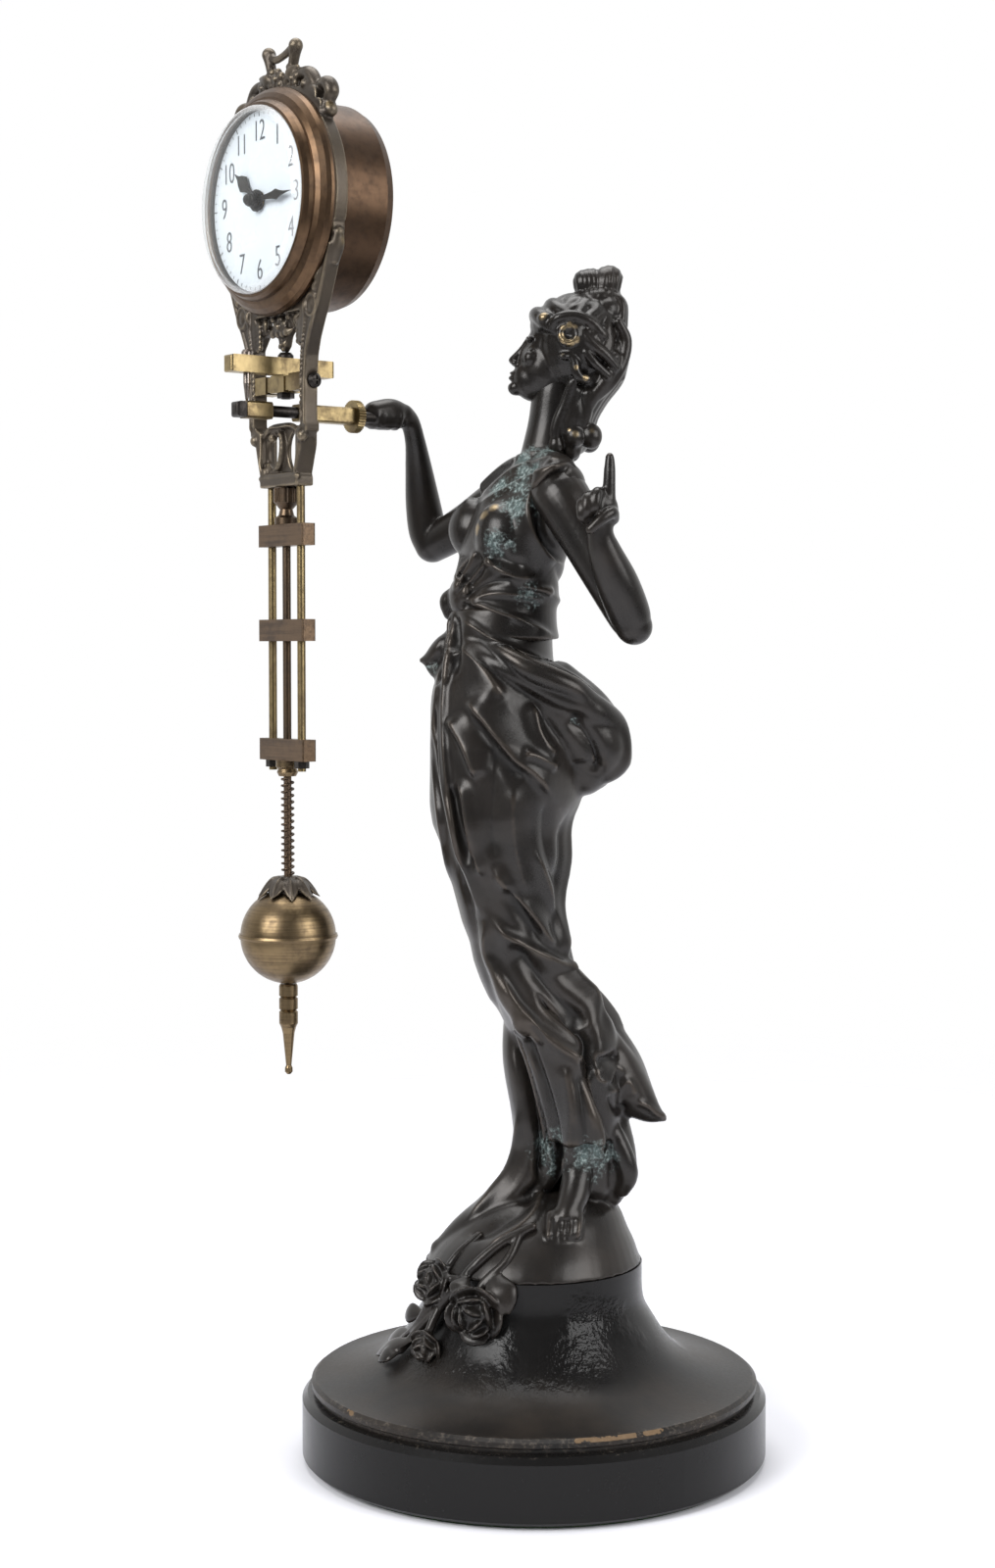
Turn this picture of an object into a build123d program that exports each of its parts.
from build123d import *
import os
from math import cos, sin, pi, radians, sqrt, hypot

os.makedirs("parts", exist_ok=True)

# Driving sizes, all in millimetres and degrees
# Turned wooden base
base_radius = 60.0
pad_thickness = 1.2
pad_inset = 3.0
plinth_height = 18.0
neck_radius = 28.0
neck_top = 51.0
bolt_radius = 3.0
counterbore_radius = 12.0
counterbore_depth = 7.0

# Figure casting, built facing -Y and then turned towards the clock
figure_turn = -36.5
fold_count = 9
fold_depth = 1.0

# Swinging unit, measured from the needle points
clock_x = -33.0
clock_y = -53.8
pivot_z = 270.8
dial_rise = 49.9
bezel_radius = 28.2
drum_radius = bezel_radius - 2.4
drum_wall = 0.7
drum_back = 17.0
frame_half_depth = 2.6
ring_radius = bezel_radius - 0.6
rail_gap = 21.4
bar_height = 4.26
bar_width = 4.2
bar_ease = 0.5
bar_front = -17.0
bar_back = 13.4
needle_front = -11.4
needle_back = 7.4
rod_radius = 1.45
hand_end = 24.0

# Pendulum below the frame
frame_bottom = -21.0
yoke_width = 21.3
yoke_depth = 4.0
yoke_height = 5.5
yoke_tops = (-30.4, -54.4, -84.7)
grid_pitch = 6.9
grid_rod_radius = 1.05
bob_rod_radius = 1.0
spring_radius = 1.5
spring_wire = 0.5
spring_turns = 15
ball_centre = -135.05
ball_radius = 12.2
ball_wall = 0.8
nut_bottom = -158.5
tip_bottom = -170.6

# Movement inside the drum
plate_radius = drum_radius - 4.8
front_plate_y = -3.5
back_plate_y = 9.0
plate_thickness = 1.0
dial_y = -7.4

swing_place = Pos(clock_x, clock_y, pivot_z)
dial_place = Pos(clock_x, clock_y, pivot_z + dial_rise)
figure_place = Rot(0, 0, figure_turn)

made = {}


def keep(name, shape):
    """Store one named piece, whether it is a single solid or a group."""
    made[name] = shape


def group(shapes):
    """Join separate solids into one node without fusing them."""
    solids = []
    for shape in shapes:
        solids.extend(shape.solids())
    return Compound(children=solids)


def turned(points, axis=Axis.Z):
    """Revolve a closed outline about an axis through the origin."""
    outline = Face(Wire.make_polygon([Vector(*p) for p in points], close=True))
    return revolve(outline, axis=axis, revolution_arc=360)


def turned_z(points):
    """Revolve (radius, height) pairs about Z."""
    return turned([(r, 0, z) for r, z in points], Axis.Z)


def turned_y(points):
    """Revolve (radius, depth) pairs about Y."""
    return turned([(r, y, 0) for r, y in points], Axis.Y)


def rod_between(start, end, radius):
    """A plain round rod from one point to another."""
    start_v, end_v = Vector(*start), Vector(*end)
    run = end_v - start_v
    plane = Plane(origin=start_v, z_dir=run.normalized())
    return extrude(plane * Circle(radius), amount=run.length)


def taper_between(start, end, radius_a, radius_b):
    """A tapered limb segment between two points."""
    start_v, end_v = Vector(*start), Vector(*end)
    axis = (end_v - start_v).normalized()
    first = Plane(origin=start_v, z_dir=axis) * Circle(radius_a)
    last = Plane(origin=end_v, z_dir=axis) * Circle(radius_b)
    return loft([first.face(), last.face()])


def ball_at(point, radius):
    """A sphere centred on a point."""
    return Pos(*point) * Sphere(radius)


def egg_at(point, radius, half_height, tilt=(0, 0, 0)):
    """A spheroid about its own Z axis, tilted and placed."""
    outline = Plane.XZ * Ellipse(radius, half_height)
    half = split(outline, bisect_by=Plane.YZ, keep=Keep.TOP)
    return Pos(*point) * Rot(*tilt) * revolve(half, axis=Axis.Z, revolution_arc=360)


def fuse_all(shapes):
    """Fuse a list of solids one after another."""
    result = shapes[0]
    for shape in shapes[1:]:
        result = result + shape
    return result


# Wooden base
def bell_knots():
    """Radius and height of the points that the bell's curve passes."""
    rim_r = base_radius - 3.4
    rim_z = plinth_height + 3.4
    rise = neck_top - rim_z
    run = rim_r - neck_radius
    shares = ((1.0, 0.0), (0.62, 0.07), (0.30, 0.24), (0.08, 0.54), (0.0, 0.84))
    return [(neck_radius + a * run, rim_z + b * rise) for a, b in shares]


def base_profile():
    """Half section of the turned base: plinth, cove, rim and bell neck."""
    lower = Polyline(
        (0, 0, pad_thickness),
        (base_radius - 0.8, 0, pad_thickness),
        (base_radius, 0, pad_thickness + 0.8),
        (base_radius, 0, plinth_height - 2.0),
        (base_radius - 1.4, 0, plinth_height - 0.4),
        (base_radius - 3.4, 0, plinth_height),
        (base_radius - 3.4, 0, plinth_height + 0.8),
        (base_radius - 2.4, 0, plinth_height + 1.4),
        (base_radius - 2.4, 0, plinth_height + 2.6),
        (base_radius - 3.4, 0, plinth_height + 3.4),
    )
    knots = bell_knots()
    bell = Spline(*[(r, 0, z) for r, z in knots], tangents=((-1, 0, 0.05), (0, 0, 1)))
    cap = Polyline(
        (neck_radius, 0, knots[-1][1]),
        (neck_radius, 0, neck_top),
        (0, 0, neck_top),
        (0, 0, pad_thickness),
    )
    return make_face(lower.edges() + bell.edges() + cap.edges())


def wood_base():
    """Turned base with a counterbored bolt hole from below."""
    body = revolve(base_profile(), axis=Axis.Z, revolution_arc=360)
    well = Pos(0, 0, well_top / 2) * Cylinder(counterbore_radius, well_top)
    bore = Pos(0, 0, neck_top / 2) * Cylinder(bolt_radius + 0.2, neck_top + 2)
    return body - well - bore


def base_pad():
    """Felt pad glued under the plinth, which closes the counterbore."""
    return Pos(0, 0, pad_thickness / 2) * Cylinder(base_radius - pad_inset, pad_thickness)


washer_thickness = 1.6
bolt_head = 4.0
bolt_reach = neck_top + 8.0
well_top = pad_thickness + counterbore_depth


def base_washer():
    """Flat washer at the top of the counterbore."""
    z = well_top - washer_thickness / 2
    ring = Cylinder(counterbore_radius - 2.0, washer_thickness) - Cylinder(bolt_radius + 0.2, 9)
    return Pos(0, 0, z) * ring


def base_bolt():
    """Hexagon bolt that pulls the casting down on the wood."""
    head_top = well_top - washer_thickness
    head = extrude(Plane.XY * RegularPolygon(5.0, 6), amount=bolt_head)
    shank = Pos(0, 0, 0) * Cylinder(
        bolt_radius, bolt_reach - head_top, align=(Align.CENTER, Align.CENTER, Align.MIN)
    )
    return Pos(0, 0, head_top - bolt_head) * head + Pos(0, 0, head_top) * shank


# Figure casting
skirt_rows = (
    # height, centre x, centre y, half width, half depth, fold share, phase
    (84.0, 1.0, 9.4, 18.0, 14.6, 2.0, 0.0),
    (92.0, 1.0, 11.6, 19.0, 17.4, 1.8, 0.25),
    (101.0, 1.0, 7.8, 18.5, 16.6, 1.5, 0.5),
    (111.0, 0.5, 5.8, 17.4, 16.0, 1.2, 0.8),
    (118.0, 0.2, 3.2, 16.8, 14.4, 1.1, 1.0),
    (126.0, 0.0, -2.4, 16.4, 11.9, 1.0, 1.2),
    (134.0, 0.0, -4.3, 16.6, 12.2, 0.9, 1.4),
    (147.0, 0.0, -6.3, 18.5, 14.0, 0.9, 1.8),
    (166.0, 0.0, -8.3, 22.5, 17.8, 0.9, 2.3),
    (184.0, 0.0, -7.2, 24.0, 19.4, 0.8, 2.8),
    (200.0, 0.0, -9.4, 20.6, 16.4, 0.6, 3.2),
    (214.0, 0.0, -8.9, 16.8, 14.0, 0.3, 3.6),
)
torso_turn = 26.0
torso_rows = (
    # height, centre x, centre y, half width, half depth
    (211.0, 0.0, -9.0, 16.6, 13.6),
    (224.0, 0.0, -7.8, 17.4, 13.6),
    (236.0, 0.0, -6.0, 19.6, 13.4),
    (246.0, 0.0, -2.4, 20.6, 11.6),
    (252.5, 0.0, 0.6, 16.4, 8.4),
    (257.0, 0.0, 2.4, 8.4, 6.8),
)


def fold_section(row):
    """One closed section of the skirt with its folds."""
    z, cx, cy, ax, ay, share, phase = row
    points = []
    count = 4 * fold_count
    for k in range(count):
        a = 2 * pi * k / count
        wave = fold_depth * share * cos(fold_count * a + phase)
        points.append((cx + (ax + wave) * cos(a), cy + (ay + wave) * sin(a), z))
    return Face(Wire(Spline(*points, periodic=True)))


def oval_section(row):
    """One plain oval section of the bodice."""
    z, cx, cy, ax, ay = row
    return (Plane(origin=(cx, cy, z)) * Rot(0, 0, torso_turn) * Ellipse(ax, ay)).face()


def ring_loft(rows):
    """Loft through level circles given as height, x, y and radius."""
    return loft([(Plane(origin=(x, y, z)) * Circle(r)).face() for z, x, y, r in rows])


def limb(points):
    """Tapered segments with a ball at each bend, from points with radii."""
    pieces = []
    for (a, ra), (b, rb) in zip(points, points[1:]):
        pieces.append(taper_between(a, b, ra, rb))
        pieces.append(ball_at(b, rb * 1.04))
    return pieces


def mound():
    """Ground under the feet, rising from the neck of the base."""
    return ring_loft(
        (
            (neck_top, 0, 0, neck_radius),
            (neck_top + 4.0, 0, 0.4, neck_radius - 2.4),
            (neck_top + 9.0, 0, 2.1, neck_radius - 5.9),
            (neck_top + 14.0, 0, 4.5, neck_radius - 10.4),
            (neck_top + 17.0, 0, 5.5, neck_radius - 15.0),
        )
    )


def train_cloth():
    """Cloth that sweeps down from the hem over the front of the ground."""
    return limb(
        (
            ((2, 4.5, 96), 9.6),
            ((2, 3.2, 79), 8.4),
            ((1, -2.6, 70), 7.0),
            ((0, -10.4, 63.5), 5.4),
            ((-2, -18.6, 58), 3.8),
        )
    )


def head_and_hair():
    """Head, hair mass, top knot and nape knot."""
    return [
        taper_between((0, 2.6, 252), (0, 4.6, 276), 6.6, 6.0),
        egg_at((0, 5.2, 283.0), 9.8, 13.6, (-12, 0, 0)),
        egg_at((0, 11.2, 285.6), 12.0, 13.2, (-24, 0, 0)),
        egg_at((0, 13.8, 301.4), 4.4, 5.2, (0, 90, 0)),
        egg_at((0, 18.6, 300.6), 4.2, 5.4, (0, 90, 0)),
        egg_at((4.0, 10.4, 262.4), 4.6, 7.0, (80, 0, 0)),
        taper_between((0, -3.6, 283.0), (0, -7.2, 280.4), 2.6, 1.2),
    ]


def legs():
    """Ankles and bare feet below the hem."""
    return [
        taper_between((7.5, 13.4, 92), (8.0, 13.2, 68), 5.2, 3.6),
        taper_between((-5.5, 12, 92), (-5.5, 9, 66), 5.4, 3.8),
        egg_at((8.6, 10.0, 67.0), 4.0, 8.5, (80, 0, 0)),
        egg_at((-5.5, 4.0, 66.0), 4.0, 9.5, (78, 0, 0)),
        egg_at((-3.0, 19.4, 75.0), 6.6, 8.6),
    ]


def swag():
    """Roll of cloth from the front waist around the hip to the back loop."""
    path = Spline(
        (2, -21.5, 214),
        (13, -14.8, 209),
        (19.6, -2.8, 203),
        (15.6, 10.6, 194.5),
        (9.5, 19.4, 189.5),
        (7.5, 21.2, 181.5),
        (9.5, 14.5, 175.5),
    )
    start = path @ 0
    plane = Plane(origin=start, z_dir=path % 0)
    return sweep(plane * Circle(3.7), path=path)


def overskirt_tip():
    """Loose corner of cloth that stands out at the front of the hip."""
    return taper_between((1.0, -19.0, 207.0), (-1.5, -28.4, 205.6), 6.0, 1.0)


def hem_point():
    """Pointed flare of the hem behind the heels."""
    return limb((((2, 16, 104), 9.0), ((2.5, 25, 95), 6.4), ((3, 32.2, 88.6), 2.2)))


def figure_body():
    """Whole standing casting without the arms, seated on the wood."""
    skirt = loft([fold_section(row) for row in skirt_rows])
    torso = loft([oval_section(row) for row in torso_rows])
    bust = [egg_at((10.2, -10.6, 239.0), 6.4, 6.8), egg_at((-3.6, -16.6, 240.6), 6.4, 6.8)]
    seat = Pos(0, 0, 0) * Cylinder(bolt_radius + 0.05, 2 * bolt_reach)
    pieces = [mound()] + legs() + train_cloth() + [skirt, swag(), overskirt_tip()] + hem_point()
    pieces += [torso] + bust + head_and_hair()
    body = fuse_all(pieces)
    return figure_place * (body - seat)


right_shoulder = (-17.0, -9.0, 247.6)
right_elbow = (-30.0, -27.4, 238.2)
right_wrist = (-20.5, -31.2, 266.4)
left_shoulder = (18.8, 6.2, 246.8)
left_elbow = (24.2, 24.4, 215.2)
left_wrist = (35.0, 15.4, 235.4)
left_fist = (36.0, 15.4, 242.2)
left_index = (36.4, 17.6, 255.0)
support_line = -bar_height / 2


def right_arm(body):
    """Far arm: bent up at the elbow, the hand closed on the support rod."""
    grip_a = Vector(clock_x, clock_y + hand_end + 0.5, pivot_z + support_line).rotate(Axis.Z, -figure_turn)
    grip_b = Vector(clock_x, clock_y + hand_end + 14.0, pivot_z + support_line).rotate(Axis.Z, -figure_turn)
    grip_mid = (grip_a + grip_b) * 0.5
    pieces = [
        ball_at(right_shoulder, 7.0),
        taper_between(right_shoulder, right_elbow, 6.4, 5.0),
        ball_at(right_elbow, 5.2),
        taper_between(right_elbow, right_wrist, 5.0, 2.6),
        taper_between(right_wrist, tuple(grip_mid), 2.8, 4.0),
        taper_between(tuple(grip_a), tuple(grip_b), 3.9, 4.4),
    ]
    arm = figure_place * fuse_all(pieces)
    hole = rod_between(
        (clock_x, clock_y, pivot_z + support_line),
        (clock_x, clock_y + hand_end + 12.0, pivot_z + support_line),
        rod_radius,
    )
    return arm - hole - body


def left_arm(body):
    """Near arm: folded up, the hand closed with the first finger raised."""
    pieces = [
        ball_at(left_shoulder, 7.4),
        taper_between(left_shoulder, left_elbow, 6.8, 5.3),
        ball_at(left_elbow, 5.6),
        taper_between(left_elbow, left_wrist, 5.2, 3.8),
        ball_at(left_fist, 5.4),
        taper_between(left_wrist, left_fist, 3.7, 4.6),
        taper_between(left_fist, left_index, 2.2, 1.5),
        ball_at(left_index, 1.6),
    ]
    return figure_place * fuse_all(pieces) - body


rose_spots = (
    # angle round the base, height below the neck's top, lift off the wood, radius
    (-59.0, 2.8, 1.6, 5.0),
    (-29.0, 8.6, 1.8, 6.4),
    (-17.0, 4.2, 0.8, 3.8),
    (-53.0, 18.0, 1.2, 3.6),
)
stem_spots = ((-12.0, -11.0, -2.2), (-31.0, -3.0, 1.0), (-46.0, 3.6, 1.6), (-58.0, 14.0, 0.8))
leaf_spots = ((-76.0, 15.0), (-72.0, 22.0))


def bell_radius(z):
    """Radius of the base's bell at a height, between the knots of its section."""
    knots = bell_knots()
    for (r0, z0), (r1, z1) in zip(knots, knots[1:]):
        if z0 <= z <= z1:
            return r0 + (r1 - r0) * (z - z0) / (z1 - z0)
    return neck_radius


def on_bell(angle, below, lift):
    """Point on the bell or the ground at an angle, pushed out by a lift."""
    z = neck_top - below
    r = bell_radius(z) + lift if below > 0 else neck_radius + 0.6 * below + lift
    return (r * cos(radians(angle)), r * sin(radians(angle)), z)


def rose_spray(base):
    """Two roses, a bud, leaves and their stems over the ground and the bell."""
    pieces = []
    stem = [(on_bell(*spot_at), 1.3) for spot_at in stem_spots]
    for angle, below, lift, radius in rose_spots:
        centre = on_bell(angle, below, lift)
        pieces.append(ball_at(centre, radius))
        nearest = min(stem, key=lambda knot: (Vector(*knot[0]) - Vector(*centre)).length)
        pieces.append(taper_between(nearest[0], centre, 1.3, 1.3))
    pieces += limb(stem)
    for angle, below in leaf_spots:
        pieces.append(taper_between(stem[-1][0], on_bell(angle, below, 0.4), 1.6, 1.8))
    return figure_place * (fuse_all(pieces) - mound()) - base


# Fixed support held in the hand
sleeve_back = 19.6
sleeve_front = 3.0
lock_nut_thickness = 2.0
front_block = (-12.4, -5.0)
front_cap = (-15.3, -12.4)


def support_box(front, back):
    """Square brass sleeve on the support rod, in the swing frame."""
    length = back - front
    block = Box(bar_width, length, bar_height)
    block = chamfer(block.edges().filter_by(Axis.Y), bar_ease)
    block = Pos(0, (front + back) / 2, -bar_height / 2) * block
    hole = rod_between((0, front - 1, support_line), (0, back + 1, support_line), rod_radius)
    return block - hole


def dimple(y):
    """Conical cup for one needle point."""
    return Pos(0, y, 0) * turned_z([(0, 0.2), (0.9, 0.2), (0.9, 0.0), (0, -0.9)])


def support_rod():
    """Steel rod from inside the hand to the front cap."""
    rod = rod_between((0, front_cap[0] + 1.2, support_line), (0, hand_end + 12.0, support_line), rod_radius)
    return swing_place * rod


def rear_cup():
    """Rear sleeve with its cup."""
    return swing_place * (support_box(sleeve_front, sleeve_back) - dimple(needle_back))


def front_cup():
    """Front block with its cup."""
    return swing_place * (support_box(front_block[0], front_block[1]) - dimple(needle_front))


def support_cap():
    """Rounded dark cap at the front end of the rod."""
    length = front_cap[1] - front_cap[0]
    block = Pos(0, (front_cap[0] + front_cap[1]) / 2, -bar_height / 2) * Box(
        bar_width - 0.4, length, bar_height - 0.4
    )
    block = fillet(block.faces().sort_by(Axis.Y)[0].edges(), 1.2)
    hole = rod_between(
        (0, front_cap[0] + 1.2, support_line), (0, front_cap[1] + 1, support_line), rod_radius
    )
    return swing_place * (block - hole)


def lock_nut():
    """Knurled round nut that locks the sleeve."""
    radius = 4.2
    count = 36
    outline = []
    for k in range(2 * count):
        a = pi * k / count
        r = radius if k % 2 == 0 else radius - 0.25
        outline.append((r * cos(a), 0, r * sin(a)))
    face = Face(Wire.make_polygon([Vector(*p) for p in outline], close=True))
    disc = extrude(face, amount=lock_nut_thickness, dir=(0, 1, 0))
    hole = rod_between((0, -1, 0), (0, 5, 0), rod_radius + 0.04)
    return swing_place * Pos(0, sleeve_back + 0.02, support_line) * (disc - hole)


# Frame casting
rail_half = rail_gap / 2
lyre_outer = (
    (ring_radius + 0.3, 41.5),
    (ring_radius - 1.7, 37.0),
    (ring_radius - 4.0, 32.5),
    (ring_radius - 5.8, 28.3),
    (ring_radius - 8.2, 22.9),
    (17.3, 19.2),
    (15.3, 15.0),
    (14.1, 11.0),
    (13.5, 5.4),
    (13.3, -1.0),
    (13.4, -6.0),
)
box_outer = (
    (13.2, -7.6), (11.0, -9.4), (10.4, -12.0), (9.4, -15.0), (8.4, -18.0), (8.8, -18.8), (8.8, -21.0)
)


def plate_xz(points):
    """Extrude an outline drawn in the XZ plane across the frame's depth."""
    face = Face(Wire.make_polygon([Vector(x, -frame_half_depth, z) for x, z in points], close=True))
    return extrude(face, amount=2 * frame_half_depth, dir=(0, 1, 0))


def across(radius, x, z, half=frame_half_depth):
    """A round bar through the frame's depth."""
    return Pos(x, 0, z) * Rot(90, 0, 0) * Cylinder(radius, 2 * half)


def mirrored(points):
    """Close an outline by its mirror image."""
    return list(points) + [(-x, z) for x, z in reversed(points) if abs(x) > 1e-6]


def frame_ring():
    """Band around the drum, bored to the drum's outside."""
    ring = across(ring_radius, 0, dial_rise) - across(drum_radius, 0, dial_rise, frame_half_depth + 1)
    return ring


def frame_lyre():
    """Two arms that hold the ring and run down into the rails."""
    inner = (
        (rail_half, -6.0), (rail_half, 6.0), (rail_half + 0.5, 13.2), (12.0, 17.5), (12.5, 25.2),
        (ring_radius - 7.6, 31.2), (ring_radius - 3.2, 37.2), (ring_radius - 1.4, 41.6),
    )
    right = plate_xz(list(lyre_outer) + list(inner))
    left = plate_xz([(-x, z) for x, z in list(lyre_outer) + list(inner)])
    return [right, left]


def frame_web():
    """Flower web between ring and rails with its drooping bud."""
    web = plate_xz(
        mirrored(
            [
                (0.0, 12.9), (1.5, 14.2), (2.4, 16.8), (5.0, 18.6), (8.6, 17.4), (rail_half + 1.0, 13.6),
                (14.5, 21.0), (13.0, 25.6), (0.0, 22.9),
            ]
        )
    )
    for side in (1, -1):
        web = web - across(1.5, side * 6.2, 20.6, 4)
    return web - across(drum_radius, 0, dial_rise, 4)


def frame_scroll():
    """Scrolled box below the support opening and its bottom plate."""
    top = ((0.0, -5.9), (4.0, -5.6), (8.0, -7.2), (rail_half, -5.8), (13.4, -5.8))
    box = plate_xz(mirrored(list(top) + list(box_outer) + [(0.0, frame_bottom)]))
    right = Pos(4.7, 0, -12.3) * Rot(90, 0, 0) * extrude(Ellipse(2.5, 4.4), amount=8, both=True)
    left = Pos(-4.5, 0, -12.3) * Rot(90, 0, 0) * extrude(Ellipse(2.5, 4.2), amount=8, both=True)
    return box - right - left


def frame_crest():
    """Ribbon crest on top of the ring, with its open loop and curls."""
    top = dial_rise + ring_radius
    pieces = [
        plate_xz(
            mirrored(
                [
                    (0.0, top - 1.0), (6.4, top - 1.2), (5.4, top + 5.0), (5.8, top + 10.6),
                    (4.0, top + 12.0), (0.0, top + 12.0),
                ]
            )
        )
    ]
    opening = plate_xz(
        mirrored([(0.0, top + 2.6), (3.4, top + 2.6), (3.2, top + 6.0), (3.6, top + 9.4), (0.0, top + 9.6)])
    )
    pieces[0] = pieces[0] - opening
    for angle, radius, lift in ((14, 2.9, 1.6), (24, 2.7, 1.5), (33, 2.3, 1.2), (41, 1.7, 0.7)):
        for side in (1, -1):
            reach = ring_radius + lift
            x = side * reach * sin(radians(angle))
            z = dial_rise + reach * cos(radians(angle))
            pieces.append(across(radius, x, z, frame_half_depth - 0.4))
    return pieces


def frame_casting():
    """One bronze frame: crest, ring, lyre, web, rails and scroll box."""
    pieces = [frame_ring()] + frame_lyre() + [frame_web(), frame_scroll()] + frame_crest()
    body = fuse_all(pieces) - across(drum_radius, 0, dial_rise, 4)
    for side in (1, -1):
        screw_hole = rod_between(
            (side * (rail_half - 1), 0, cross_z), (side * 20, 0, cross_z), screw_radius
        )
        screw_seat = rod_between((side * head_seat, 0, cross_z), (side * 20, 0, cross_z), 2.2)
        body = body - screw_hole - screw_seat
        rod_hole = rod_between(
            (side * grid_pitch, 0, frame_bottom - 1),
            (side * grid_pitch, 0, frame_bottom + 2),
            grid_rod_radius,
        )
        body = body - rod_hole
    nut_hole = rod_between((0, 0, frame_bottom - 1), (0, 0, frame_bottom + 3.0), 1.2)
    return swing_place * (body - nut_hole)


# Pivot bar, cross bar and needles
cross_bottom = 2.6
cross_top = 7.0
cross_z = (cross_bottom + cross_top) / 2
bar_bottom = cross_top
bar_top = cross_top + bar_height
screw_radius = 1.1
head_seat = 13.2


def cross_bar():
    """Three-stepped brass bar between the rails."""
    height = cross_top - cross_bottom
    wide = rail_gap
    bar = Pos(0, 0, cross_z) * Box(wide, 4.6, height - 0.8)
    for x, length in ((0, 6.4), (-rail_half + 2.6, 5.2), (rail_half - 2.6, 5.2)):
        bar = bar + Pos(x, 0, cross_z) * Box(length, 5.2, height)
    for side in (1, -1):
        bar = bar - rod_between(
            (side * (rail_half - 3.0), 0, cross_z), (side * (rail_half + 1), 0, cross_z), screw_radius
        )
    return swing_place * (bar - rod_between((0, 0, 0), (0, 0, 9), screw_radius))


def frame_screws():
    """Cross-headed screws through the rails into the cross bar."""
    pieces = []
    for side in (1, -1):
        seat = head_seat + 0.01
        profile = [(0, 0), (1.9, 0), (1.9, 0.5), (1.2, 1.3), (0, 1.5)]
        shank = rod_between(
            (side * (rail_half - 2.6), 0, cross_z), (side * (seat + 0.2), 0, cross_z), screw_radius
        )
        head = Pos(side * seat, 0, cross_z) * Rot(0, side * 90, 0) * turned_z(profile)
        slot_a = Pos(side * (seat + 1.5), 0, cross_z) * Box(1.2, 0.5, 2.2)
        slot_b = Pos(side * (seat + 1.5), 0, cross_z) * Box(1.2, 2.2, 0.5)
        pieces.append(shank + head - slot_a - slot_b)
    return swing_place * group(pieces)


def pivot_bar():
    """Upper bar that carries the two needles."""
    length = bar_back - bar_front
    bar = Pos(0, (bar_front + bar_back) / 2, (bar_bottom + bar_top) / 2) * Box(
        bar_width, length, bar_height
    )
    ends = bar.faces().sort_by(Axis.Y)
    bar = fillet(ends[0].edges() + ends[-1].edges(), 0.8)
    for y in (needle_front, needle_back):
        bar = bar - rod_between((0, y, 0), (0, y, 20), needle_radius)
    return swing_place * (bar - rod_between((0, 0, 0), (0, 0, 20), screw_radius))


needle_radius = 0.9


def needle_pins():
    """Two steel needles whose points carry the swinging unit."""
    pieces = []
    for y in (needle_front, needle_back):
        pin = turned_z(
            [
                (0, -0.55), (0.45, 0.6), (needle_radius, 4.4), (needle_radius, bar_top), (1.35, bar_top),
                (1.35, bar_top + 0.9), (0.9, bar_top + 1.5), (0, bar_top + 1.6),
            ]
        )
        pieces.append(Pos(0, y, 0) * pin)
    return swing_place * group(pieces)


def bar_screw():
    """Screw that fixes the pivot bar on the cross bar."""
    head = Pos(0, 0, bar_top) * turned_z([(0, 0), (2.0, 0), (2.0, 0.8), (1.4, 1.5), (0, 1.7)])
    slot = Pos(0, 0, bar_top + 1.6) * Box(4.4, 0.6, 1.0)
    shank = rod_between((0, 0, cross_bottom - 1.5), (0, 0, bar_top + 0.2), screw_radius)
    return swing_place * (head - slot + shank)


def bar_nut():
    """Flat hexagon nut under the cross bar."""
    nut = extrude(Plane.XY * RegularPolygon(2.2, 6), amount=1.3)
    nut = Pos(0, 0, cross_bottom - 1.3) * nut
    return swing_place * (nut - rod_between((0, 0, 0), (0, 0, 4), screw_radius))


# Drum, bezel, glass and dial
glass_rim = bezel_radius - 4.8
lip_radius = glass_rim - 0.8
seat_play = 0.03
bezel_front = -9.6
glass_rise = 5.0
key_x = -9.17
key_z = -6.42


def drum_case():
    """Spun drum with a rounded back and two holes for key and knob."""
    r = drum_radius
    w = drum_wall
    f = -frame_half_depth
    outer = [(r, f), (r, drum_back - 3.2), (r - 0.9, drum_back - 1.0), (r - 3.0, drum_back), (0, drum_back)]
    inner = [
        (0, drum_back - w), (r - 3.2, drum_back - w), (r - w - 0.7, drum_back - 1.5),
        (r - w, drum_back - 3.4), (r - w, f),
    ]
    case = turned_y(outer + inner)
    case = case - rod_between((0, drum_back - 4, 0), (0, drum_back + 1, 0), 1.3)
    case = case - rod_between((key_x, drum_back - 4, key_z), (key_x, drum_back + 1, key_z), 2.0)
    for x, z in post_spots():
        case = case - rod_between((x, drum_back - 4, z), (x, drum_back + 1, z), 0.8)
    return dial_place * case


def bezel():
    """Rounded bezel with an outer roll, a step and a narrow glass ring."""
    f = -frame_half_depth
    inside = drum_radius - drum_wall
    ring = turned_y(
        [
            (inside - 0.7, 1.2),
            (inside - seat_play, 1.2),
            (inside - seat_play, f),
            (bezel_radius - 0.5, f),
            (bezel_radius, f - 0.7),
            (bezel_radius, f - 1.5),
            (bezel_radius - 0.5, f - 2.6),
            (bezel_radius - 1.6, f - 3.8),
            (bezel_radius - 2.8, f - 4.5),
            (bezel_radius - 3.4, f - 4.6),
            (bezel_radius - 3.7, f - 5.6),
            (bezel_radius - 4.3, bezel_front + 0.2),
            (bezel_radius - 5.0, bezel_front),
            (lip_radius, bezel_front + 0.4),
            (lip_radius, bezel_front + 1.0),
            (glass_rim, bezel_front + 1.0),
            (glass_rim, bezel_front + 1.9),
            (inside - 0.7, bezel_front + 2.6),
        ]
    )
    return dial_place * ring


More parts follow.
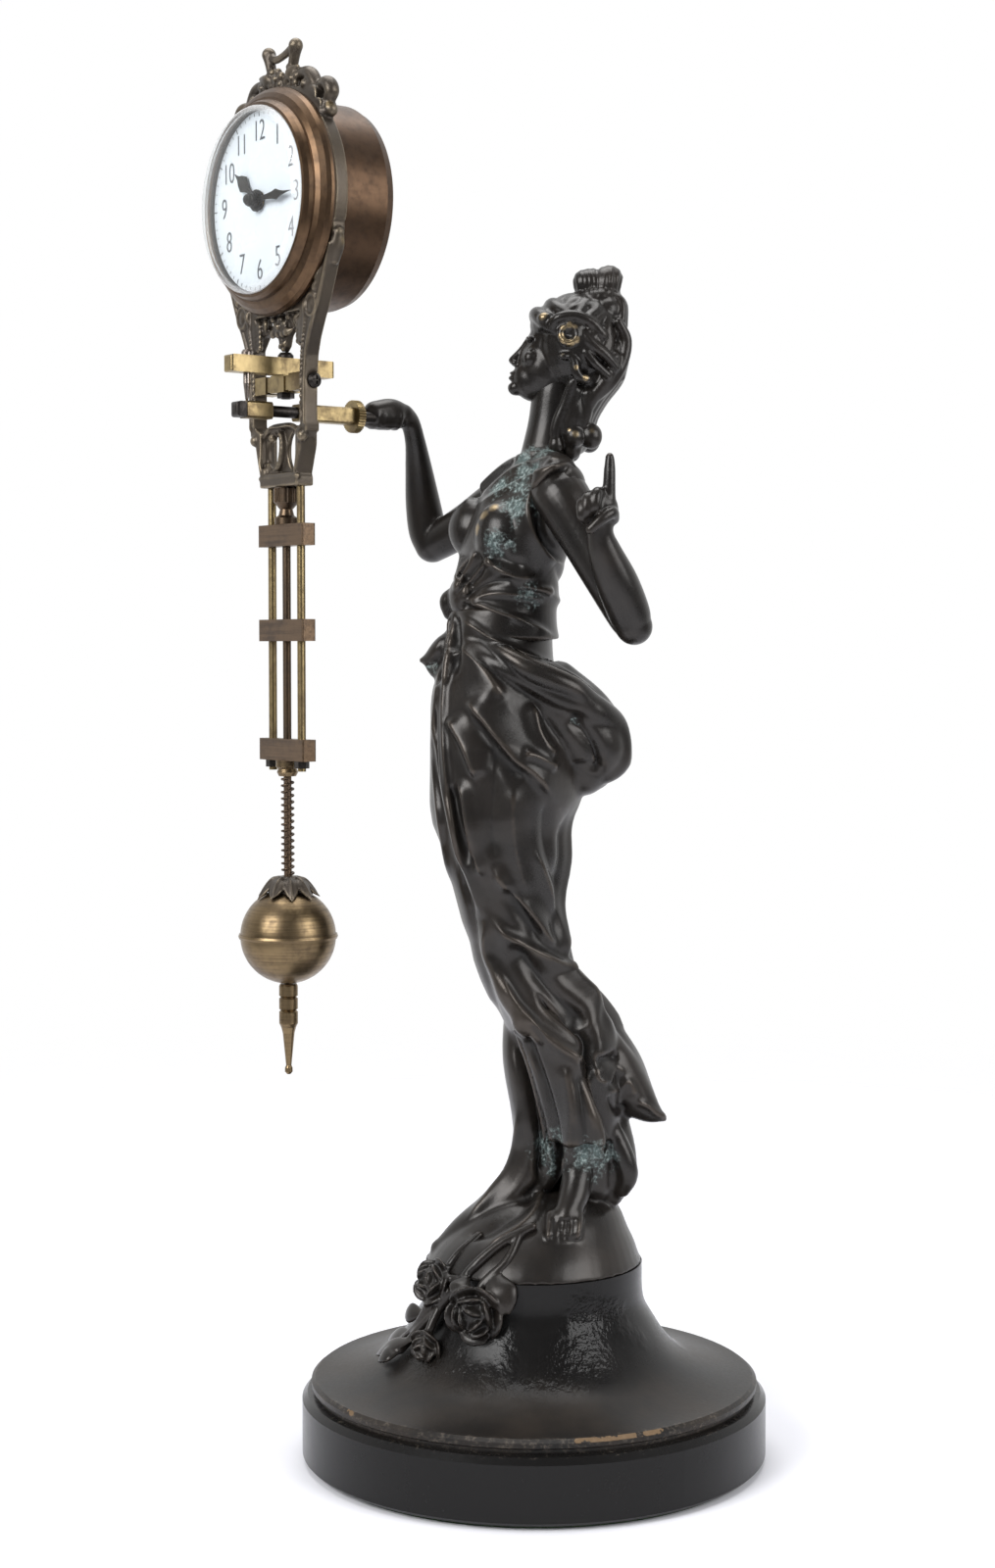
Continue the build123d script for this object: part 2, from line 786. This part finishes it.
def glass():
    """Domed glass held behind the bezel's lip."""
    seat = bezel_front + 1.0
    thickness = 0.9
    apex = bezel_front - glass_rise + 0.8
    points_out = []
    points_in = []
    count = 16
    reach = lip_radius - 0.05
    sag = seat - apex
    big = (reach * reach + sag * sag) / (2 * sag)
    for k in range(count + 1):
        r = reach * (1 - k / count)
        y = apex + big - sqrt(big * big - r * r)
        points_out.append((r, y))
        points_in.append((r * (reach - 0.6) / reach, y + thickness))
    rim = glass_rim - seat_play
    outline = [(rim, seat + thickness), (rim, seat)] + points_out + list(reversed(points_in))
    return dial_place * turned_y(outline)


def dial():
    """White dial plate with its three feet."""
    reach = lip_radius - 0.2
    plate = turned_y([(2.3, dial_y), (reach, dial_y), (reach, dial_y + 0.5), (2.3, dial_y + 0.5)])
    for angle in (20, 150, 265):
        x = 18.2 * cos(radians(angle))
        z = 18.2 * sin(radians(angle))
        plate = plate + rod_between((x, dial_y + 0.3, z), (x, front_plate_y, z), 0.7)
    return dial_place * plate


# Movement
def gear(teeth, module, front, back, bore, phase=0.0, addendum=0.8, dedendum=1.2):
    """Spur gear with straight-flanked teeth about Y."""
    pitch = 2 * pi / teeth
    outline = []
    root = module * (teeth / 2 - dedendum)
    mid = module * teeth / 2
    tip = module * (teeth / 2 + addendum)
    for k in range(teeth):
        centre = radians(phase) + k * pitch
        for share, r in ((-0.29, root), (-0.2, mid), (-0.09, tip), (0.09, tip), (0.2, mid), (0.29, root)):
            a = centre + share * pitch
            outline.append((r * cos(a), front, r * sin(a)))
    face = Face(Wire.make_polygon([Vector(*p) for p in outline], close=True))
    wheel = extrude(face, amount=back - front, dir=(0, 1, 0))
    if bore > 0:
        wheel = wheel - rod_between((0, front - 1, 0), (0, back + 1, 0), bore)
    return wheel


def spot(distance, angle, start=(0.0, 0.0)):
    """A point in the dial plane from a start point."""
    return (start[0] + distance * cos(radians(angle)), start[1] + distance * sin(radians(angle)))


def post_spots():
    """Where the three movement posts stand."""
    return [spot(19.0, a) for a in (90, 205, 335)]


arbor_radius = 0.6
barrel_teeth = 48
centre_pinion_teeth = 8
barrel_module = 0.4
barrel_angle = 215.0
barrel_spot = spot(barrel_module * (barrel_teeth + centre_pinion_teeth) / 2, barrel_angle)
centre_teeth = 48
third_pinion_teeth = 8
third_module = 0.35
third_angle = -12.0
third_spot = spot(third_module * (centre_teeth + third_pinion_teeth) / 2, third_angle)
third_teeth = 48
escape_pinion_teeth = 8
escape_module = 0.3
escape_angle = 78.0
escape_spot = spot(escape_module * (third_teeth + escape_pinion_teeth) / 2, escape_angle, third_spot)
pallet_spot = (escape_spot[0] - 2.0, escape_spot[1] + 7.6)
minute_angle = 62.0
cannon_teeth = 12
minute_teeth = 36
minute_module = 0.35
minute_distance = minute_module * (cannon_teeth + minute_teeth) / 2
minute_spot = spot(minute_distance, minute_angle)
hour_pinion_teeth = 10
hour_teeth = 40
hour_module = 2 * minute_distance / (hour_pinion_teeth + hour_teeth)
pillar_spots = [spot(plate_radius - 2.0, a) for a in (110, 170, 260, 310)]
plate_in = front_plate_y + plate_thickness


def bored(plate, spots, radius, front, back):
    """Bore round holes through a plate."""
    for x, z in spots:
        plate = plate - rod_between((x, front - 1, z), (x, back + 1, z), radius)
    return plate


def front_plate():
    """Front movement plate with its pivot holes."""
    plate = rod_between((0, front_plate_y, 0), (0, plate_in, 0), plate_radius)
    plate = bored(plate, [(0, 0)], 1.2, front_plate_y, plate_in)
    plate = bored(
        plate,
        [barrel_spot, third_spot, escape_spot, pallet_spot],
        arbor_radius + 0.05,
        front_plate_y,
        plate_in,
    )
    x, z = minute_spot
    stud = rod_between((x, -6.6, z), (x, front_plate_y + 0.5, z), 0.7)
    return dial_place * (plate + stud)


def back_plate():
    """Back movement plate with its pivot holes."""
    back = back_plate_y + plate_thickness
    plate = rod_between((0, back_plate_y, 0), (0, back, 0), plate_radius)
    plate = bored(
        plate, [(0, 0), third_spot, escape_spot, pallet_spot], arbor_radius + 0.05, back_plate_y, back
    )
    plate = bored(plate, [barrel_spot], 1.05, back_plate_y, back)
    for x, z in post_spots():
        plate = plate + rod_between((x, back - 0.2, z), (x, drum_back - drum_wall, z), 1.5)
    plate = bored(plate, post_spots(), 0.8, back_plate_y, drum_back)
    x, z = click_spot
    plate = plate + rod_between((x, back - 0.2, z), (x, back + 1.6, z), 0.6)
    return dial_place * plate


def plate_pillars():
    """Four pillars that hold the plates apart."""
    pieces = [rod_between((x, plate_in, z), (x, back_plate_y, z), 1.5) for x, z in pillar_spots]
    return dial_place * group(pieces)


def case_screws():
    """Three screws through the drum's back that hold the movement."""
    pieces = []
    for x, z in post_spots():
        shank = rod_between((x, back_plate_y - 0.5, z), (x, drum_back + 0.1, z), 0.8)
        head = rod_between((x, drum_back, z), (x, drum_back + 0.9, z), 1.7)
        slot = Pos(x, drum_back + 0.9, z) * Box(4, 0.8, 0.5)
        pieces.append(shank + (head - slot))
    return dial_place * group(pieces)


cannon_front = -9.6
hub_minute = -9.4
hub_hour = -8.5
hand_thickness = 0.4
hand_nut_front = -11.9


def centre_arbor():
    """Centre arbor from the minute hand to the setting knob."""
    arbor = rod_between((0, cannon_front - 0.3, 0), (0, drum_back + 3.0, 0), arbor_radius)
    return dial_place * arbor


def cannon_pinion():
    """Cannon pinion and its pipe, friction tight on the centre arbor."""
    pinion = gear(cannon_teeth, minute_module, -4.6, -3.7, arbor_radius, minute_angle)
    pipe = rod_between((0, cannon_front, 0), (0, plate_in + 0.2, 0), 1.05) - rod_between(
        (0, -20, 0), (0, 20, 0), arbor_radius
    )
    return dial_place * (pinion + pipe)


def centre_wheel():
    """Centre wheel and pinion of the going train."""
    wheel = gear(centre_teeth, third_module, 5.4, 6.2, arbor_radius, third_angle)
    pinion = gear(centre_pinion_teeth, barrel_module, -1.6, 5.4, arbor_radius, barrel_angle)
    return dial_place * (wheel + pinion)


def minute_wheel():
    """Minute wheel with its pinion, free on a stud."""
    x, z = minute_spot
    back_angle = minute_angle + 180
    wheel = gear(minute_teeth, minute_module, -4.6, -3.8, 0.75, back_angle - 180 / minute_teeth)
    pinion = gear(hour_pinion_teeth, hour_module, -6.4, -4.6, 0.75, back_angle - 180 / hour_pinion_teeth)
    return dial_place * Pos(x, 0, z) * (wheel + pinion)


def hour_wheel():
    """Hour wheel with the pipe that carries the hour hand."""
    wheel = gear(hour_teeth, hour_module, -6.4, -5.6, 1.15, minute_angle)
    pipe = rod_between((0, hub_hour - 0.2, 0), (0, -5.2, 0), 1.75) - rod_between(
        (0, -20, 0), (0, 20, 0), 1.15
    )
    return dial_place * (wheel + pipe)


def hand(outline, y, thickness, turn, hub, bore):
    """One flat hand from an outline drawn at twelve o'clock."""
    face = Face(Wire.make_polygon([Vector(x, y, z) for x, z in mirrored(outline)], close=True))
    blade = extrude(face, amount=thickness, dir=(0, 1, 0))
    boss = rod_between((0, y - 0.2, 0), (0, y + thickness, 0), hub)
    whole = blade + boss - rod_between((0, -20, 0), (0, 20, 0), bore)
    return dial_place * Rot(0, turn, 0) * whole


minute_time = 15.0
hour_time = 10.25


def hour_hand():
    """Spade hour hand."""
    shape = (
        (0.0, -3.0), (0.8, -2.8), (0.7, 5.0), (1.3, 6.6), (2.2, 8.0), (1.5, 9.8), (0.5, 11.2), (0.0, 13.2)
    )
    return hand(shape, hub_hour, hand_thickness, hour_time * 30.0, 2.7, 1.75)


def minute_hand():
    """Slender minute hand."""
    shape = (
        (0.0, -4.0), (0.7, -3.8), (0.6, 6.0), (0.9, 9.0), (1.3, 10.6), (0.7, 12.2), (0.25, 14.6),
        (0.0, 17.4),
    )
    return hand(shape, hub_minute, hand_thickness, minute_time * 6.0, 2.0, 1.05)


def hand_nut():
    """Small domed nut that holds the minute hand."""
    front = hand_nut_front
    nut = turned_y(
        [
            (0, front), (0.9, front + 0.15), (1.3, front + 0.6), (1.3, front + 1.1), (1.7, front + 1.3),
            (1.7, cannon_front), (0, cannon_front),
        ]
    )
    return dial_place * (nut - rod_between((0, cannon_front - 0.3, 0), (0, 0, 0), arbor_radius))


def set_knob():
    """Milled setting knob behind the drum."""
    knob = gear(24, 0.3, drum_back + 1.2, drum_back + 3.6, 0)
    collar = rod_between((0, drum_back + 0.3, 0), (0, drum_back + 1.2, 0), 1.8)
    return dial_place * (knob + collar - rod_between((0, 0, 0), (0, drum_back + 3.0, 0), arbor_radius))


def barrel():
    """Mainspring barrel with its toothed rim and cover."""
    x, z = barrel_spot
    back_angle = barrel_angle + 180
    rim = gear(barrel_teeth, barrel_module, 3.2, 4.4, 1.6, back_angle - 180 / barrel_teeth)
    drum = turned_y([(1.6, -1.8), (9.0, -1.8), (9.0, 4.4), (1.6, 4.4)])
    hollow = turned_y([(1.0, -1.0), (8.3, -1.0), (8.3, 3.6), (1.0, 3.6)])
    return dial_place * Pos(x, 0, z) * (drum + rim - hollow)


def mainspring():
    """Mainspring coiled against the barrel wall."""
    x, z = barrel_spot
    return dial_place * Pos(x, 0, z) * turned_y([(5.0, -0.9), (8.3, -0.9), (8.3, 3.5), (5.0, 3.5)])


def winding_arbor():
    """Barrel arbor with its square end at the back."""
    x, z = barrel_spot
    core = rod_between((x, -1.9, z), (x, back_plate_y - 0.2, z), 1.5)
    pivot = rod_between((x, front_plate_y + 0.1, z), (x, -1.8, z), arbor_radius)
    shaft = rod_between((x, back_plate_y - 0.3, z), (x, drum_back + 2.6, z), 1.0)
    return dial_place * (core + pivot + shaft)


def ratchet_wheel():
    """Ratchet wheel on the winding arbor."""
    x, z = barrel_spot
    back = back_plate_y + plate_thickness
    teeth = 18
    outline = []
    for k in range(teeth):
        a = 2 * pi * k / teeth
        b = a + 0.9 * 2 * pi / teeth
        outline.append((3.9 * cos(a), back + 0.3, 3.9 * sin(a)))
        outline.append((3.2 * cos(b), back + 0.3, 3.2 * sin(b)))
    face = Face(Wire.make_polygon([Vector(*p) for p in outline], close=True))
    wheel = extrude(face, amount=1.0, dir=(0, 1, 0)) - rod_between((0, 0, 0), (0, 30, 0), 1.0)
    return dial_place * Pos(x, 0, z) * wheel


click_spot = (barrel_spot[0] - 1.0, barrel_spot[1] - 7.4)


def click():
    """Click that keeps the ratchet wheel from running back."""
    x, z = click_spot
    back = back_plate_y + plate_thickness
    bx, bz = barrel_spot
    outline = [
        (x - 1.5, z - 1.0), (x + 1.4, z - 0.9), (x + 1.2, z + 1.2), (bx + 1.0, bz - 4.15),
        (bx + 0.2, bz - 4.1), (x - 1.0, z + 1.2),
    ]
    face = Face(Wire.make_polygon([Vector(px, back + 0.3, pz) for px, pz in outline], close=True))
    body = extrude(face, amount=1.0, dir=(0, 1, 0))
    return dial_place * (body - rod_between((x, 0, z), (x, 30, z), 0.65))


def winding_key():
    """Butterfly key on the winding arbor."""
    x, z = barrel_spot
    start = drum_back + 0.4
    stem = rod_between((x, start, z), (x, start + 6.0, z), 1.8) - rod_between(
        (x, 0, z), (x, drum_back + 2.6, z), 1.0
    )
    wing = Box(1.2, 7.0, 15.0)
    wing = fillet(wing.edges().filter_by(Axis.X), 2.6)
    wing = wing - Pos(0, 0.6, 4.2) * Rot(0, 90, 0) * Cylinder(1.3, 4) - Pos(0, 0.6, -4.2) * Rot(
        0, 90, 0
    ) * Cylinder(1.3, 4)
    return dial_place * (stem + Pos(x, start + 8.0, z) * wing)


def third_wheel():
    """Third wheel, pinion and arbor."""
    x, z = third_spot
    back_angle = third_angle + 180
    wheel = gear(third_teeth, escape_module, 1.4, 2.2, 0, escape_angle)
    pinion = gear(third_pinion_teeth, third_module, 2.2, 7.4, 0, back_angle - 180 / third_pinion_teeth)
    arbor = rod_between(
        (0, front_plate_y + 0.1, 0), (0, back_plate_y + plate_thickness - 0.1, 0), arbor_radius
    )
    return dial_place * Pos(x, 0, z) * (wheel + pinion + arbor)


def escape_wheel():
    """Escape wheel, pinion and arbor."""
    x, z = escape_spot
    teeth = 20
    back_angle = escape_angle + 180
    outline = []
    for k in range(teeth):
        a = 2 * pi * k / teeth
        outline.append((4.9 * cos(a), 7.2, 4.9 * sin(a)))
        outline.append((4.9 * cos(a + 0.04), 7.2, 4.9 * sin(a + 0.04)))
        outline.append((4.0 * cos(a + 0.16), 7.2, 4.0 * sin(a + 0.16)))
        outline.append((4.0 * cos(a + 0.27), 7.2, 4.0 * sin(a + 0.27)))
    face = Face(Wire.make_polygon([Vector(*p) for p in outline], close=True))
    wheel = extrude(face, amount=0.7, dir=(0, 1, 0))
    pinion = gear(escape_pinion_teeth, escape_module, 0.4, 3.6, 0, back_angle - 180 / escape_pinion_teeth)
    arbor = rod_between(
        (0, front_plate_y + 0.1, 0), (0, back_plate_y + plate_thickness - 0.1, 0), arbor_radius
    )
    return dial_place * Pos(x, 0, z) * (wheel + pinion + arbor)


def pallets():
    """Anchor pallets on their arbor."""
    px, pz = pallet_spot
    ex, ez = escape_spot
    arbor = rod_between(
        (px, front_plate_y + 0.1, pz), (px, back_plate_y + plate_thickness + 2.4, pz), arbor_radius
    )
    anchor = rod_between((px, 7.2, pz), (px, 7.9, pz), 1.3)
    for angle in (58, 148):
        tip = spot(5.5, angle, (ex, ez))
        anchor = anchor + Pos(0, 7.55, 0) * plate_bar((px, pz), tip, 1.0, 0.7)
    return dial_place * (arbor + anchor)


def plate_bar(start, end, width, thickness):
    """A flat bar between two points of the dial plane."""
    dx, dz = end[0] - start[0], end[1] - start[1]
    length = hypot(dx, dz)
    nx, nz = -dz / length * width / 2, dx / length * width / 2
    outline = [
        (start[0] + nx, start[1] + nz),
        (end[0] + nx * 0.6, end[1] + nz * 0.6),
        (end[0] - nx * 0.6, end[1] - nz * 0.6),
        (start[0] - nx, start[1] - nz),
    ]
    face = Face(Wire.make_polygon([Vector(x, -thickness / 2, z) for x, z in outline], close=True))
    return extrude(face, amount=thickness, dir=(0, 1, 0))


def inner_pendulum():
    """Short driving pendulum behind the back plate."""
    px, pz = pallet_spot
    y = back_plate_y + plate_thickness + 1.2
    hub = rod_between((px, y - 0.6, pz), (px, y + 1.2, pz), 1.6) - rod_between(
        (px, 0, pz), (px, 30, pz), arbor_radius
    )
    rod = rod_between((px, y + 0.3, pz - 1.2), (px, y + 0.3, pz - 21.0), 0.5)
    bob = rod_between((px, y - 0.8, pz - 21.0), (px, y + 1.6, pz - 21.0), 3.4)
    return dial_place * (hub + rod + bob)


# Pendulum
def grid_rods():
    """Outer brass rods from the frame to below the lowest yoke."""
    low = yoke_tops[2] - yoke_height - 2.6
    pieces = [
        rod_between(
            (side * grid_pitch, 0, low), (side * grid_pitch, 0, frame_bottom + 2.0), grid_rod_radius
        )
        for side in (1, -1)
    ]
    return swing_place * group(pieces)


def centre_grid_rod():
    """Dark steel middle rod between the first and last yoke."""
    low = yoke_tops[2] - yoke_height
    return swing_place * rod_between((0, 0, low), (0, 0, yoke_tops[0]), grid_rod_radius)


def yoke(top):
    """One brass yoke bored for the three rods."""
    body = Pos(0, 0, top - yoke_height / 2) * Box(yoke_width, yoke_depth, yoke_height)
    body = fillet(body.edges().filter_by(Axis.Z), 0.5)
    for x in (-grid_pitch, 0, grid_pitch):
        body = body - rod_between((x, 0, top - yoke_height - 1), (x, 0, top + 1), grid_rod_radius)
    return body


def grid_yokes():
    """Three equal yokes that tie the rods together."""
    return swing_place * group([yoke(top) for top in yoke_tops])


def fluted_nut():
    """Dark fluted nut between the frame and the first yoke."""
    top = frame_bottom
    low = yoke_tops[0]
    run = top - low
    body = turned_z(
        [
            (0, low), (3.0, low), (3.0, low + 0.17 * run), (2.0, low + 0.24 * run),
            (1.6, low + 0.40 * run), (2.6, low + 0.52 * run), (3.3, low + 0.6 * run), (3.3, top - 0.5),
            (2.8, top), (0, top),
        ]
    )
    for k in range(12):
        a = 2 * pi * k / 12
        flute = rod_between(
            (3.55 * cos(a), 3.55 * sin(a), low + 0.5 * run), (3.55 * cos(a), 3.55 * sin(a), top + 1), 0.55
        )
        body = body - flute
    stud = rod_between((0, 0, top - 0.5), (0, 0, top + 3.0), 1.2)
    return swing_place * (body + stud)


def rod_end_nuts():
    """Two dark nuts on the lower ends of the outer rods."""
    top = yoke_tops[2] - yoke_height
    pieces = []
    for side in (1, -1):
        nut = Pos(side * grid_pitch, 0, top - 1.8) * extrude(Plane.XY * RegularPolygon(1.9, 6), amount=1.8)
        hole = rod_between(
            (side * grid_pitch, 0, top - 4), (side * grid_pitch, 0, top + 1), grid_rod_radius
        )
        pieces.append(nut - hole)
    return swing_place * group(pieces)


boss_height = 4.0


def pendulum_boss():
    """Turned boss under the lowest yoke that takes the bob rod."""
    top = yoke_tops[2] - yoke_height
    body = turned_z(
        [
            (0, top), (3.0, top), (3.0, top - 1.6), (2.4, top - 2.2), (2.7, top - 3.0),
            (2.2, top - boss_height), (0, top - boss_height),
        ]
    )
    hole = rod_between((0, 0, top - 9), (0, 0, top - 0.8), bob_rod_radius)
    return swing_place * (body - hole)


rod_low = -157.0


def bob_rod():
    """Rod from the boss through the bob to the rating nut."""
    top = yoke_tops[2] - yoke_height - 0.8
    return swing_place * rod_between((0, 0, rod_low), (0, 0, top), bob_rod_radius)


def arc_mid(start, corner, end):
    """Middle point of the arc that is tangent to both legs of a corner."""
    chord_mid = (start + end) * 0.5
    half = (end - start).length / 2
    leg = (corner - start).length
    cosine = half / leg
    return chord_mid + (corner - chord_mid) * (cosine / (1 + cosine))


def helix_point(step, radius, low, pitch):
    """Point and tangent on a helix after a number of half turns."""
    a = pi * step
    point = Vector(radius * cos(a), radius * sin(a), low + pitch * step / 2)
    tangent = Vector(-radius * sin(a), radius * cos(a), pitch / (2 * pi)).normalized()
    return point, tangent


def helix_path(radius, low, pitch, turns):
    """Helix drawn with two tangent arcs for each half turn."""
    edges = []
    for step in range(2 * turns):
        p0, t0 = helix_point(step, radius, low, pitch)
        p1, t1 = helix_point(step + 1, radius, low, pitch)
        v = p1 - p0
        t = t0 + t1
        a = 4 - t.dot(t)
        b = 2 * v.dot(t)
        c = -v.dot(v)
        d = (-b + sqrt(b * b - 4 * a * c)) / (2 * a)
        corner_a = p0 + t0 * d
        corner_b = p1 - t1 * d
        joint = (corner_a + corner_b) * 0.5
        edges.append(ThreePointArc(p0, arc_mid(p0, corner_a, joint), joint))
        edges.append(ThreePointArc(joint, arc_mid(joint, corner_b, p1), p1))
    return Wire(edges)


leaf_top = -119.5
leaf_low = leaf_top - 4.9


def bob_spring():
    """Compression spring between the boss and the leaf cap."""
    top = yoke_tops[2] - yoke_height - boss_height - spring_wire / 2
    low = leaf_top + spring_wire / 2
    pitch = (top - low) / spring_turns
    path = helix_path(spring_radius, low, pitch, spring_turns)
    least = least_gap(low, pitch)
    print("spring: least gap to itself", round(least, 3), "mm")
    plane = Plane(origin=path @ 0, z_dir=path % 0)
    return swing_place * sweep(plane * Circle(spring_wire / 2), path=path)


def least_gap(low, pitch):
    """Least clear distance between the spring's own turns, on points."""
    samples = []
    for k in range(0, 2 * spring_turns * 12 + 1):
        samples.append(helix_point(k / 12, spring_radius, low, pitch)[0])
    least = 1e9
    for i in range(0, len(samples), 2):
        for j in range(i + 12, min(i + 60, len(samples))):
            least = min(least, (samples[i] - samples[j]).length - spring_wire)
    return least


def leaf_cap():
    """Leaf calyx on top of the bob."""
    body = turned_z(
        [
            (bob_rod_radius + 0.06, leaf_top), (2.4, leaf_top), (3.0, leaf_top - 0.8),
            (5.2, leaf_top - 2.0), (7.2, leaf_top - 4.0), (7.3, leaf_low), (6.2, leaf_low - 0.5),
            (bob_rod_radius + 0.06, leaf_low - 0.5),
        ]
    )
    ball = Pos(0, 0, ball_centre) * Sphere(ball_radius + 0.02)
    return swing_place * (body - ball)


def bob_shell(upper):
    """One spun half of the bob, with its rim bead."""
    shell = Sphere(ball_radius) - Sphere(ball_radius - ball_wall)
    bead = turned_z(
        [
            (ball_radius - 0.6, -0.6), (ball_radius + 0.3, -0.6), (ball_radius + 0.5, 0),
            (ball_radius + 0.3, 0.6), (ball_radius - 0.6, 0.6),
        ]
    )
    shell = shell + bead
    side = 1 if upper else -1
    keep_box = Pos(0, 0, side * 20) * Box(60, 60, 40)
    half = shell & keep_box
    half = half - Cylinder(bob_rod_radius + 0.06, 60)
    return swing_place * Pos(0, 0, ball_centre) * half


def bob_core():
    """Cast filling that gives the bob its weight."""
    core = Sphere(ball_radius - ball_wall) - Cylinder(bob_rod_radius + 0.06, 60)
    return swing_place * Pos(0, 0, ball_centre) * core


def rating_nut():
    """Grooved rating nut and tapered finial below the bob."""
    top = ball_centre - ball_radius - 0.1
    body = turned_z(
        [
            (0, top),
            (2.1, top),
            (2.4, top - 0.6),
            (2.4, top - 3.0),
            (2.0, top - 3.4),
            (2.4, top - 3.8),
            (2.4, top - 6.4),
            (2.0, top - 6.8),
            (2.4, top - 7.2),
            (2.4, nut_bottom + 1.0),
            (1.9, nut_bottom),
            (1.5, nut_bottom - 1.6),
            (0.7, tip_bottom + 2.2),
            (1.0, tip_bottom + 1.6),
            (1.0, tip_bottom + 0.6),
            (0.5, tip_bottom),
            (0, tip_bottom),
        ]
    )
    hole = rod_between((0, 0, rod_low - 2.0), (0, 0, top + 1), bob_rod_radius + 0.06)
    return swing_place * (body - hole)


# Build everything
base = wood_base()
keep("wood_base", base)
keep("base_pad", base_pad())
keep("base_washer", base_washer())
keep("base_bolt", base_bolt())
body = figure_body()
keep("figure_body", body)
keep("right_arm", right_arm(body))
keep("left_arm", left_arm(body))
keep("rose_spray", rose_spray(base))
for maker in (
    support_rod, rear_cup, front_cup, support_cap, lock_nut,
    frame_casting, cross_bar, frame_screws, pivot_bar, needle_pins, bar_screw, bar_nut,
    drum_case, bezel, glass, dial,
    front_plate, back_plate, plate_pillars, case_screws,
    centre_arbor, cannon_pinion, centre_wheel, minute_wheel, hour_wheel,
    hour_hand, minute_hand, hand_nut, set_knob,
    barrel, mainspring, winding_arbor, ratchet_wheel, click, winding_key,
    third_wheel, escape_wheel, pallets, inner_pendulum,
    grid_rods, centre_grid_rod, grid_yokes, fluted_nut, rod_end_nuts, pendulum_boss, bob_rod, bob_spring,
    leaf_cap, bob_core, rating_nut,
):
    keep(maker.__name__, maker())
keep("bob_upper_shell", bob_shell(True))
keep("bob_lower_shell", bob_shell(False))

for name, shape in made.items():
    export_step(shape, os.path.join("parts", name + ".step"))
print("pieces", len(made))
